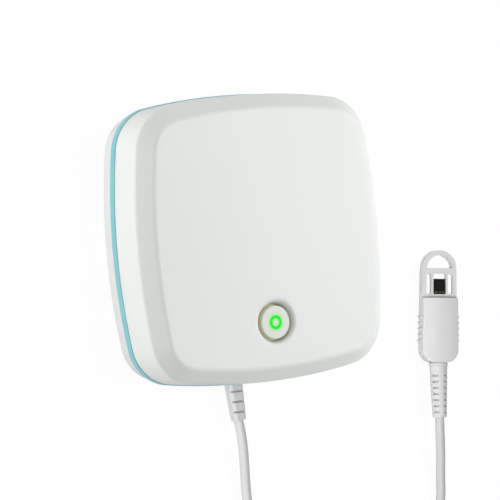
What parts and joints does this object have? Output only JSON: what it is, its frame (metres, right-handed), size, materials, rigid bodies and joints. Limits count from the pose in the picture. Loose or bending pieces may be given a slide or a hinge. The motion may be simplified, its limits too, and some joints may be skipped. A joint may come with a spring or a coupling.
{
  "type": "temperature and humidity data logger",
  "caption": "Square wireless logger housing with a lit front button, a slide-off battery door on its flat back, and a vented sensor probe on a coiled lead.",
  "frame": {"origin": "middle of the housing's flat back face, at crease-outline centre", "axes": "+Z out of the housing's front, +Y to its top edge away from the lead, +X to its right, where the probe lies"},
  "size_m": [0.1464, 0.2182, 0.0292],
  "materials": {
    "cover_white": "fine matte",
    "shell_grey_white": "fine matte",
    "accent_teal": "satin",
    "seal_rubber": "matte",
    "cap_white": "satin",
    "light_green": "translucent, lit",
    "black_plastic": "matte",
    "dark_plunger": "matte",
    "lamp_lens": "clear",
    "board_green": "solder mask",
    "module_green": "solder mask",
    "steel": "plated",
    "tinned": "tinned",
    "cell_jacket": "plain jacket",
    "lead_white": "soft satin",
    "relief_white": "soft matte",
    "probe_grey_white": "fine matte",
    "sensor_black": "moulded",
    "copper_wires": "insulated",
    "tie_white": "satin"
  },
  "bodies": {
    "housing": {"rear_shell": "shell_grey_white", "battery_cells": "cell_jacket", "battery_contacts": "tinned", "accent_band": "accent_teal", "seal_gasket": "seal_rubber", "front_shell": "cover_white", "case_screws": "steel", "tact_switch": "black_plastic", "status_lamps": "lamp_lens", "main_board": "board_green", "board_screws": "steel", "radio_module": "module_green", "radio_can": "tinned", "board_chips": "black_plastic", "housing_relief": "relief_white", "lead_tail": "lead_white", "lead_plug": "cap_white", "cord_clamp": "black_plastic", "clamp_screws": "steel", "probe_front_cover": "probe_grey_white", "probe_back_shell": "probe_grey_white", "probe_collar": "relief_white", "probe_relief": "relief_white", "sensor_board": "board_green", "humidity_sensor": "sensor_black", "sensor_parts": "tinned", "probe_wires": "copper_wires", "cord_housing_run": "lead_white", "cord_coil": "lead_white", "cord_probe_run": "lead_white", "cord_tie": "tie_white"},
    "button": {"button_cap": "cap_white", "light_guide": "light_green", "switch_plunger": "dark_plunger"},
    "battery_door": {"battery_door": "shell_grey_white"}
  },
  "joints": [
    {"name": "button_press", "type": "slide", "parent": "housing", "child": "button", "axis": [0, 0, -1], "range_m": [0, 0.0006], "stiffness_N_per_m": 1500, "springref_m": -0.0004},
    {"name": "battery_door_slide", "type": "slide", "parent": "housing", "child": "battery_door", "axis": [1, 0, 0], "range_m": [0, 0.006]}
  ]
}
